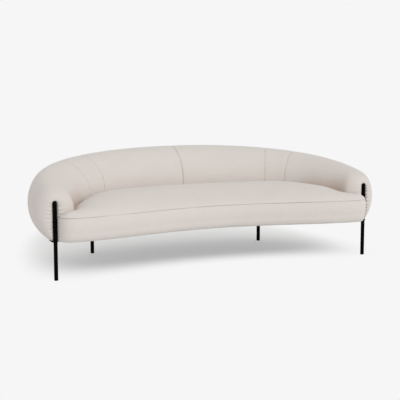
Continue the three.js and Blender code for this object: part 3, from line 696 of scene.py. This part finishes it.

# %% [markdown]
# ## Upholstery fabric
#
# The cover is a soft, close wool weave in a warm off-white. What makes it read as cloth is not its colour
# but the small things: a fine over-and-under relief, threads that are a touch lighter or darker, slow
# patches where the nap lies another way, and a faint sheen at grazing angles. Shade is also painted into
# the colour: each panel's points say how deep in a crease or a seam they lie, and there the wool is painted
# darker and warmer, as shade and light thrown back and forth in a crease would make it.

# %% Fabric finish
# Painted shade: the darker, warmer colour that the wool is multiplied by in creases and seams.
PAINTED_SHADE_TONE = (0.87, 0.77, 0.7, 1)
THREAD_PITCH, TONE_SPREAD = 0.0026, 0.07


def scaled(base, factor):
    return tuple(min(part * factor, 1) for part in base[:3]) + (1,)


def fabric_finish(name, base):
    material, s = new_finish(name)
    cloth = s.node("ShaderNodeUVMap", 0, {"uv_map": "cloth"})
    warp, weft = part_of(cloth, 0), part_of(cloth, 1)
    thread = 2 * math.pi / THREAD_PITCH
    over = s.math("SINE", warp * thread) * s.math("SINE", weft * thread)
    place = own_place(s)
    fuzz, slub, nap = noise_at(place, 900.0, 3.0), noise_at(place, 160.0, 2.0), noise_at(place, 7.0, 2.0)
    relief = over * 0.35 + fuzz * 0.5 + slub * 0.4
    shade = ((fuzz - 0.5) * 0.5 + (slub - 0.5) * 0.7 + (nap - 0.5) * 0.35 + 0.5).clamp()
    wool = shade.mixed(scaled(base, 1 - TONE_SPREAD), scaled(base, 1 + TONE_SPREAD))
    # Painted shade: where a point lies in a crease or a seam, the wool is multiplied towards that darker,
    # warmer tone.
    painted_shade = s.node("ShaderNodeAttribute", 2, {"attribute_name": "painted_shade"})
    shade_blend = {"data_type": "RGBA", "blend_type": "MULTIPLY"}
    tone = s.node("ShaderNodeMix", 2, shade_blend, {0: painted_shade, 6: wool, 7: PAINTED_SHADE_TONE})
    close_finish(s, surface(s, tone, nap * 0.08 + 0.86, (relief, 0.35, 0.0012),
                            Sheen_Weight=0.15, Sheen_Roughness=0.5, Specular_IOR_Level=0.25))
    return material


cover_finish = fabric_finish("wool_weave", colour(216, 209, 203))
print("threads every", THREAD_PITCH * 1000, "mm")

# %% [markdown]
# ## The six panels of the roll
#
# The photograph shows seams at the middle of the back and twice on its right, so the cover has two arm
# panels, two short side panels and two back panels. Sections stand closer together near a seam and at the
# arm's rounded end, where the cloth turns fastest.

# %% Stations
ARM_SEAM, SIDE_SEAM = 0.44 * ROLL_LENGTH, 0.567 * ROLL_LENGTH
SEAM_GAP, STATION_STEP = 0.00003, 0.02
SEAM_STEPS = np.array([0, 0.0003, 0.0009, 0.0018, 0.0029, 0.0045, 0.007, 0.011, 0.016, 0.023, 0.032])


def body_stations(start, end, seam_start, seam_end):
    """Stations between two places of the path, drawn in at those ends that are seams."""
    first = [start + d for d in SEAM_STEPS] if seam_start else [start]
    last = [end - d for d in SEAM_STEPS[::-1]] if seam_end else [end]
    count = max(int((last[0] - first[-1]) / STATION_STEP), 2)
    middle = np.linspace(first[-1], last[0], count + 1)[1:-1]
    found = []
    for along in [*first, *middle, *last]:
        inset = seam_inset(along - start) if seam_start else 0
        inset += seam_inset(end - along) if seam_end else 0
        found.append((along, 1.0, inset))
    return found


tip_angles = np.radians(np.concatenate([np.linspace(0, 38, 34), np.linspace(40, 87.5, 20)]))
tip = [(TIP_LENGTH * (1 - math.cos(a)), math.sin(a), 0.0) for a in tip_angles]
arm_stations = tip + body_stations(TIP_LENGTH, ARM_SEAM - SEAM_GAP, False, True)
side_stations = body_stations(ARM_SEAM + SEAM_GAP, SIDE_SEAM - SEAM_GAP, True, True)
back_stations = body_stations(SIDE_SEAM + SEAM_GAP, ROLL_LENGTH - SEAM_GAP, True, True)
print(len(arm_stations), len(side_stations), len(back_stations), "stations")

# %% Roll panels
ROLL_WAVE, ROLL_WAVE_LENGTH = 0.0009, 0.11
# Painted shade in the arm's crease fades between these heights and in and out along these stretches of the
# arm.
SHADE_LOW, SHADE_HIGH = 0.42, 0.55
SHADE_START, SHADE_END = (0.03, 0.055), (0.3, 0.6)


def arm_crease_shade(stations, grid):
    """Painted shade: 1 in the crease at the arm's inner side, 0 at its rounded end, on its top and towards the
    back.
    """
    along = np.array([place for place, _, _ in stations])[:, None]
    inside = np.arange(grid.shape[1])[None, :] < TUCK_ROWS + TOP_ROWS
    low = 1 - ease(grid[..., 2], SHADE_LOW, SHADE_HIGH)
    return low * inside * ease(along, *SHADE_START) * (1 - ease(along, *SHADE_END))


def seam_shade(stations, grid):
    """Painted shade: 1 at the bottom of a seam, 0 where the panel isn't drawn in."""
    inset = np.array([drawn for _, _, drawn in stations])[:, None]
    return np.repeat((inset / seam_inset(0)) ** 2, grid.shape[1], axis=1)


def roll_panel(part, side_name, side, stations, *foams):
    """Draws, presses and declares one panel of the roll."""
    grid = uneven(roll_grid(stations), ROLL_WAVE, ROLL_WAVE_LENGTH, 3 * side)
    if part == "arm":
        grid = gathered(grid, side)
    grid = over_foam(grid, *foams)
    # Painted shade at the seams and in the arm's crease, which the fabric colour is darkened and warmed by.
    painted_shade = seam_shade(stations, grid)
    if part == "arm":
        painted_shade = np.maximum(painted_shade, arm_crease_shade(stations, grid))
    piece = panel(f"{part}_panel_{side_name}", grid, cover_finish, side=side, painted_shade=painted_shade)
    declare_cover(piece, f"{part}_cover_{side_name}")


for side_name, side in (("right", 1), ("left", -1)):
    roll_panel("arm", side_name, side, arm_stations, "arm_foam_right", "arm_end_pad_right")
    roll_panel("side", side_name, side, side_stations, "arm_foam_right", "back_foam_right")
    roll_panel("back", side_name, side, back_stations, "back_foam_right")

# %% [markdown]
# ## The crescent seat
#
# The seat fills the space inside the roll. In plan its front runs forward into two shoulders and back again
# to the legs, and its top is crowned: highest in the middle, falling to the seam in front and to the crease
# at the roll behind. Slices from front to back follow both lines, and the crown's height comes from how far
# a place is from either of them.

# %% Lines in plan
LINE_STEP = 0.002


def sampled(line, shares):
    """Places at shares of a line's length, and the line's direction there."""
    length = measured(line)[-1]
    return on_line(line, shares * length, length * LINE_STEP)


def roll_edge(stations, outwards):
    """A line in plan beside the roll's middle line, at the distance outwards(along, turn) from it."""
    line = []
    for along, turn in stations:
        here, way = along_path(np.array([along]))
        out = outwards(along, turn)
        x, y = here[0, 0] + way[0, 1] * out, here[0, 1] - way[0, 0] * out
        line.append((x, y + groove(x) * (1 - turn**2)))
    return np.array(line)


print("lines follow the roll or a share of their own length")

# %% Front and rear line of the seat
SHOULDER_X, SHOULDER_REACH, MIDDLE_BACK, CORNER_SQUARE = leg_x - 0.107, 0.111, 0.024, 2.6
SEAT_END_X = leg_x - LEG_RADIUS - 0.0035
REAR_STEP = 0.012
half = np.linspace(0, 1, 1500)
fall = (MIDDLE_BACK + SHOULDER_REACH) * (2 * half**2 - half**4)
flat_part = np.stack([SHOULDER_X * half, MIDDLE_BACK - fall], axis=1)
bend = half[1:] * math.pi / 2
round_part = np.stack([
    SHOULDER_X + (SEAT_END_X - SHOULDER_X) * np.sin(bend) ** (2 / CORNER_SQUARE),
    -LEG_RADIUS - (SHOULDER_REACH - LEG_RADIUS) * np.maximum(np.cos(bend), 0) ** (2 / CORNER_SQUARE),
], axis=1)
front_line = np.concatenate([flat_part, round_part]) + (0, leg_y)

rear_stations = [(ROLL_LENGTH - d, 1.0) for d in np.arange(0, ROLL_LENGTH - TIP_LENGTH, REAR_STEP)]
rear_stations += [(TIP_LENGTH * (1 - math.cos(a)), math.sin(a)) for a in np.radians(np.linspace(90, 5, 40))]
rear_line = roll_edge(rear_stations, lambda along, turn: -sizes_of(along, turn, -SOFT_GAP)[1])
end_part = np.linspace(front_line[-1], rear_line[-1], 12)[1:-1]
front_line = np.concatenate([front_line, end_part])
front_length, rear_length = measured(front_line)[-1], measured(rear_line)[-1]
print("front line", round(front_length, 3), "m, rear line", round(rear_length, 3), "m")

# %% Slices of the seat
FRONT_LAG = 1.5
shares = np.concatenate([np.linspace(0, 0.9, 76)[:-1], np.linspace(0.9, 0.98, 18)[:-1],
                         np.linspace(0.98, 1, 14)])
front, front_way = sampled(front_line, shares**FRONT_LAG)
rear = sampled(rear_line, shares)[0]
front_way[0] = (1, 0)
front_in = np.stack([-front_way[:, 1], front_way[:, 0]], axis=1)
slice_depth = np.linalg.norm(front - rear, axis=1)
rear_share = np.array([along / ROLL_LENGTH for along, _ in rear_stations])
crease = crease_at(np.interp(shares * rear_length, measured(rear_line), rear_share))
print(len(shares), "slices, the middle one", round(slice_depth[0], 3), "m deep")

# %% From plan to form
NEAR_BLOCK = 2000


def nearest(points, line):
    """The shortest way in plan from each point to a line of points."""
    start, way = line[:-1], np.diff(line, axis=0)
    size = np.maximum((way**2).sum(1), 1e-12)
    flat = points.reshape(-1, 2)
    best = np.empty(len(flat))
    for block in range(0, len(flat), NEAR_BLOCK):
        some = flat[block:block + NEAR_BLOCK, None, :]
        share = np.clip(((some - start) * way).sum(2) / size, 0, 1)
        gap = np.linalg.norm(some - (start + share[..., None] * way), axis=2)
        best[block:block + NEAR_BLOCK] = gap.min(1)
    return best.reshape(points.shape[:-1])


def at_height(plan, height):
    """Points in plan, set to one height or to one each."""
    return np.concatenate([plan, np.broadcast_to(height, plan.shape[:-1])[..., None]], axis=-1)


def both_halves(slices):
    """The slices of the right half, which start in the middle, and their mirror images."""
    return np.concatenate([slices[::-1], slices[1:] * (-1, 1, 1)])


print("the seat's front is", round(2 * float(front[:, 0].max()), 3), "m wide")

# %% [markdown]
# ## The seat's top
#
# One crowned panel covers the seat. Its front edge folds down into the seam and its rear edge is tucked into
# the crease. The rows of points are laid from fold to tuck, the cloth is settled, and what would then lie in
# the foam is lifted again.

# %% Seat top
SEAM_HEIGHT, CROWN, CROWN_POWER, CROWN_FADE = 0.395, 0.0875, 0.78, 2.4
SEAT_INSET, SEAT_FOLD = 0.0012, ((0.01, 0.003), (0.0045, 0.0029), (0.0022, 0.0022))
SEAT_TUCK, PINNED_ROWS = (0.006, 0.013, TUCK), 4
SEAT_WAVE, SEAT_WAVE_LENGTH = 0.0012, 0.16
across_shares = np.concatenate([[0, 0.006, 0.014, 0.025, 0.04], np.linspace(0.06, 0.94, 34),
                                [0.96, 0.975, 0.987, 0.995, 1]])
start = front + front_in * SEAT_INSET
plan = start[:, None, :] + (rear - start)[:, None, :] * across_shares[None, :, None]
from_front = np.maximum(nearest(plan, front_line[::12]) - SEAT_INSET, 0)
from_rear = nearest(plan, rear_line)
back_share = from_front / np.maximum(from_front + from_rear, 1e-9)
back_share[:, -1], back_share[:, 0] = 1, 0
fullness = 1 - np.maximum(1 - (from_front + from_rear) / slice_depth[0], 0) ** CROWN_FADE
crown = CROWN * fullness * (4 * back_share * (1 - back_share)) ** CROWN_POWER
seat_height = (SEAM_HEIGHT + SOFT_GAP) * (1 - back_share) + crease[:, None] * back_share + crown
fold = [at_height(front + front_in * way_in, SEAM_HEIGHT - drop) for way_in, drop in SEAT_FOLD]
tuck = [at_height(rear, crease - drop) for drop in SEAT_TUCK]
seat_slices = np.concatenate([np.stack(fold, axis=1), at_height(plan, seat_height), np.stack(tuck, axis=1)],
                             axis=1)
seat_grid = uneven(both_halves(seat_slices), SEAT_WAVE, SEAT_WAVE_LENGTH, 9)
held = np.ones(seat_grid.shape[:2])
held[PINNED_ROWS:-PINNED_ROWS, PINNED_ROWS:-PINNED_ROWS] = 0
seat_grid = settled(seat_grid, held, (0, leg_y + 0.3, 0.3))
seat_grid = over_foam(seat_grid, "seat_foam", columns=slice(len(SEAT_FOLD) + 1, None))
declare_cover(panel("seat_top_panel", seat_grid, cover_finish), "seat_top_cover")

# %% [markdown]
# ## The seat's front border
#
# Below the seam an upright band closes the front. It bulges a little, as foam pushes cloth between two held
# edges, rounds under the seat and ends in a hem that is stapled to the base. Each of its rows is the front
# line again, moved in and set to a height.

# %% Seat border
ROUND_WIDTH, ROUND_HEIGHT, NARROW_SHARE = 0.035, 0.055, 0.3
BULGE, BULGE_START, BORDER_TOP = 0.006, (0.02, 0.12), 0.006
BORDER_FOLD = ((0.0002, 0.0043), (0.0007, 0.0036), (0.0017, 0.0033), (0.004, 0.0032), (0.01, 0.0032))
BORDER_WAVE, BORDER_WAVE_LENGTH = 0.0009, 0.12
bulge = BULGE * ease(slice_depth, *BULGE_START)
round_in = np.minimum(ROUND_WIDTH, slice_depth * NARROW_SHARE)
hem_in = np.minimum(HEM, slice_depth * NARROW_SHARE)
side_low, side_high = UNDERSIDE + ROUND_HEIGHT, SEAM_HEIGHT - BORDER_TOP
border_rows = [(round_in + hem_in * step, UNDERSIDE) for step in np.linspace(1, 0, 5)]
for a in np.radians(np.linspace(7.5, 90, 12)):
    border_rows.append((round_in * (1 - math.sin(a)), UNDERSIDE + ROUND_HEIGHT * (1 - math.cos(a))))
for step in np.linspace(0, 1, 14)[1:]:
    border_rows.append((-bulge * math.sin(math.pi * step), side_low + (side_high - side_low) * step))
border_rows += [(way_in, SEAM_HEIGHT - drop) for way_in, drop in BORDER_FOLD]
border_slices = np.stack([
    at_height(front + front_in * np.reshape(way_in, (-1, 1)), height) for way_in, height in border_rows
], axis=1)
border_grid = uneven(both_halves(border_slices), BORDER_WAVE, BORDER_WAVE_LENGTH, 5)
border_grid = over_foam(border_grid, "front_foam", "seat_foam", columns=slice(0, -len(BORDER_FOLD) - 1))
declare_cover(panel("seat_border_panel", border_grid, cover_finish), "seat_front_border")

# %% [markdown]
# ## Legs and glides
#
# The legs are steel tube with a black powder coat: deep black, not quite matt, with the faint orange peel
# that baked powder has. The glides under them are moulded plastic, with the fine grain of a spark-eroded
# mould. Both are CAD nodes whose shape is right, so they only get their finish.

# %% Powder coat
def dress(finish, *names):
    for name in names:
        node = nodes[name]
        node.data.materials.clear()
        node.data.materials.append(finish)
    print(finish.name, "on", len(names), "nodes")


def both(*names):
    return [f"{name}_{side}" for name in names for side in ("right", "left")]


powder, s = new_finish("black_powder_coat")
place = own_place(s)
peel, wear = noise_at(place, 420.0, 2.0), noise_at(place, 24.0, 4.0)
tone = wear.mixed((0.002, 0.002, 0.0022, 1), (0.0042, 0.004, 0.0038, 1))
close_finish(s, surface(s, tone, wear * 0.14 + 0.5, (peel, 0.25, 0.0004), Specular_IOR_Level=0.006))
dress(powder, *both("front_leg", "rear_leg"))

# %% Moulded plastic
plastic, s = new_finish("moulded_plastic")
grain = noise_at(own_place(s), 1500.0, 1.0)
tone = grain.mixed((0.008, 0.008, 0.008, 1), (0.014, 0.014, 0.014, 1))
close_finish(s, surface(s, tone, grain * 0.1 + 0.5, (grain, 0.2, 0.0003)))
dress(plastic, *both("front_glide", "rear_glide"))

# %% [markdown]
# ## What lies inside and underneath
#
# These pieces show only where the sofa is taken apart or seen from below, but each has its own finish:
# birch plywood with its grain, open foam, ribbed webbing, zinc on the bolts and black lining cloth.

# %% Birch plywood
PLY_PITCH = 0.0028
plywood, s = new_finish("birch_plywood")
place = own_place(s)
stretch = s.node("ShaderNodeMapping", 0, {}, {"Vector": place, "Scale": (3.0, 40.0, 40.0)})
grain = noise_at(stretch, 3.0, 6.0, 0.4)
plies = ribs_along(part_of(place, 2), PLY_PITCH)
tone = (grain * 0.8 + plies * 0.2).mixed(colour(176, 137, 92), colour(222, 190, 146))
close_finish(s, surface(s, tone, grain * 0.2 + 0.55, (grain, 0.2, 0.001)))
ribs = [f"roll_rib_{k}" for k in range(1, 6)]
dress(plywood, "base_plate", "front_rail", "rear_seat_rail", "cross_rail_middle", "top_rail",
      *both("cross_rail", "end_rail", "arm_post", *ribs))

# %% Cut foam
foam, s = new_finish("cut_foam")
place = own_place(s)
pores, age = cells_at(place, 450.0), noise_at(place, 5.0, 3.0)
tone = age.mixed(colour(232, 220, 178), colour(240, 232, 204))
close_finish(s, surface(s, tone, pores * 0.2 + 0.8, (pores, 0.5, 0.001)))
dress(foam, "seat_foam", "front_foam", *both("arm_foam", "back_foam", "arm_end_pad"))

# %% Ribbed webbing
RIB_PITCH = 0.0035
webbing, s = new_finish("ribbed_webbing")
cords = ribs_along(part_of(own_place(s), 0), RIB_PITCH)
tone = cords.mixed(colour(38, 36, 34), colour(70, 67, 62))
close_finish(s, surface(s, tone, cords * 0.1 + 0.75, (cords, 0.6, 0.0008)))
dress(webbing, *[f"belt_{side}_{k}" for side in ("right", "left") for k in range(1, 5)])

# %% Zinc plating
zinc, s = new_finish("zinc_plating")
cloud = noise_at(own_place(s), 90.0, 4.0)
tone = cloud.mixed(colour(168, 170, 172), colour(205, 205, 202))
close_finish(s, surface(s, tone, cloud * 0.25 + 0.25, Metallic=1.0))
dress(zinc, *both("leg_bolt"))

# %% Lining cloth
lining, s = new_finish("lining_cloth")
place = own_place(s)
fibre, dots = noise_at(place, 260.0, 5.0, 0.8), cells_at(place, 330.0)
tone = fibre.mixed(colour(24, 24, 25), colour(52, 52, 53))
close_finish(s, surface(s, tone, fibre * 0.15 + 0.8, (dots, 0.4, 0.0006)))
print("lining cloth ready")

# %% [markdown]
# ## Lining underneath
#
# Non-woven lining closes the bottom: one thin sheet, laid against the base plate with its edge under the
# hems and stapled there, so that away from its edges and from the rear leg plates it hangs two millimetres
# low. It is cut as a crescent, so a grid between its front and rear edges gives its form at once.

# %% Lining sheet
LAP, LAP_SHARE, LINING_GAP, LINING_SAG, LINING_THICK = 0.006, 0.1, 0.0005, 0.002, 0.0006
RIM_HOLD, PLATE_HOLD = (0.008, 0.09), (0.05, 0.13)
LINING_WAVE, LINING_WAVE_LENGTH = 0.0004, 0.05
lining_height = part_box("base_plate")[0].z - LINING_GAP - LINING_THICK
lap_in = np.minimum(LAP, slice_depth * LAP_SHARE)
front_edge = front + front_in * (round_in + hem_in - lap_in)[:, None]
rear_edge = roll_edge(rear_stations, lambda along, turn: section(along, turn, 0.0)[0][-1] + LAP * turn)
edge_shares = np.linspace(0, 1, 90)
low_side, high_side = sampled(front_edge, edge_shares)[0], sampled(rear_edge, edge_shares)[0]
steps = np.linspace(0, 1, 61)[None, :, None]
lining_plan = low_side[:, None] * (1 - steps) + high_side[:, None] * steps
from_rim = nearest(lining_plan, np.concatenate([front_edge, rear_edge[::-1]]))
plate_x, plate_y = middle_of("rear_leg_right")
from_plate = np.hypot(lining_plan[..., 0] - plate_x, lining_plan[..., 1] - plate_y)
free = ease(from_rim, *RIM_HOLD) * ease(from_plate, *PLATE_HOLD)
lining_grid = both_halves(at_height(lining_plan, lining_height - LINING_SAG * free))
lining_grid = uneven(lining_grid, LINING_WAVE, LINING_WAVE_LENGTH, 21)[:, ::-1]
lining_sheet = panel("lining_sheet", lining_grid, lining, thickness=LINING_THICK)
print("lining over", len(edge_shares), "slices on each side")

# %% Lining declared
ahead, aside = np.diff(lining_grid[:, :-1], axis=0), np.diff(lining_grid[:-1], axis=1)
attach(lining_sheet, "root")
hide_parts("dust_cover")

# %% [markdown]
# ## Screws of the leg plates
#
# Pan-head screws hold the leg plates to the base. One is modelled from a cylinder: its upper face is inset
# and pulled out as the shank, a six-sided hole is cut for the key, and a fine bevel breaks the edges. The
# others are copies of it, each turned a little further, as screws come to rest.

# %% One screw
HEAD_RADIUS, HEAD_HEIGHT, SHANK_RADIUS, SHANK_LENGTH = 0.0046, 0.0024, 0.0023, 0.0042
KEY_RADIUS, KEY_DEPTH, EDGE_BEVEL = 0.0018, 0.003, 0.0004
bpy.ops.object.select_all(action="DESELECT")
bpy.ops.mesh.primitive_cylinder_add(vertices=6, radius=KEY_RADIUS, depth=KEY_DEPTH,
                                    location=(0, 0, -HEAD_HEIGHT))
key_hole = bpy.context.object
bpy.ops.object.select_all(action="DESELECT")
bpy.ops.mesh.primitive_cylinder_add(vertices=32, radius=HEAD_RADIUS, depth=HEAD_HEIGHT,
                                    location=(0, 0, -HEAD_HEIGHT / 2))
screw = bpy.context.object
bpy.ops.object.transform_apply(location=True, rotation=True, scale=True)
for face in screw.data.polygons:
    face.select = face.normal.z > 0.9
bpy.ops.object.mode_set(mode="EDIT")
bpy.ops.mesh.inset(thickness=HEAD_RADIUS - SHANK_RADIUS)
bpy.ops.mesh.extrude_region_move(TRANSFORM_OT_translate={"value": (0, 0, SHANK_LENGTH)})
bpy.ops.object.mode_set(mode="OBJECT")
cut = screw.modifiers.new("key_hole", "BOOLEAN")
cut.object, cut.operation, cut.solver = key_hole, "DIFFERENCE", "EXACT"
bpy.ops.object.modifier_apply(modifier="key_hole")
edge = screw.modifiers.new("edge", "BEVEL")
edge.width, edge.segments = EDGE_BEVEL, 2
bpy.ops.object.modifier_apply(modifier="edge")
bpy.ops.object.shade_smooth_by_angle(angle=math.radians(40))
screw.data.materials.append(zinc)
bpy.data.objects.remove(key_hole)
print("one screw has", len(screw.data.polygons), "faces")

# %% All screws
HARD_GAP, STEEL_PLATE, TAB_SCREWS, PLATE_SCREW = 0.0003, 0.005, (0.038, 0.063), 0.017
tab_bottom = UNDERSIDE - HARD_GAP - STEEL_PLATE
plate_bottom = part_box("rear_leg_right")[1].z - STEEL_PLATE


def place_screw(name, x, y, height, turn):
    piece = bpy.data.objects.new(name, screw.data.copy())
    piece.data.transform(Matrix.Translation((x, y, height)) @ Matrix.Rotation(turn, 4, "Z"))
    bpy.context.collection.objects.link(piece)
    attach(piece, "root")


for side_name, side in (("right", 1), ("left", -1)):
    for k, back in enumerate(TAB_SCREWS):
        place_screw(f"tab_screw_{side_name}_{k + 1}", side * leg_x, leg_y + back, tab_bottom, 0.7 * k + side)
    for k, (a, b) in enumerate(((1, 1), (-1, 1), (-1, -1), (1, -1))):
        x, y = side * (plate_x + a * PLATE_SCREW), plate_y + b * PLATE_SCREW
        place_screw(f"plate_screw_{side_name}_{k + 1}", x, y, plate_bottom, 0.9 * k + side)
bpy.data.objects.remove(screw)
print("screws at heights", round(tab_bottom, 4), round(plate_bottom, 4))
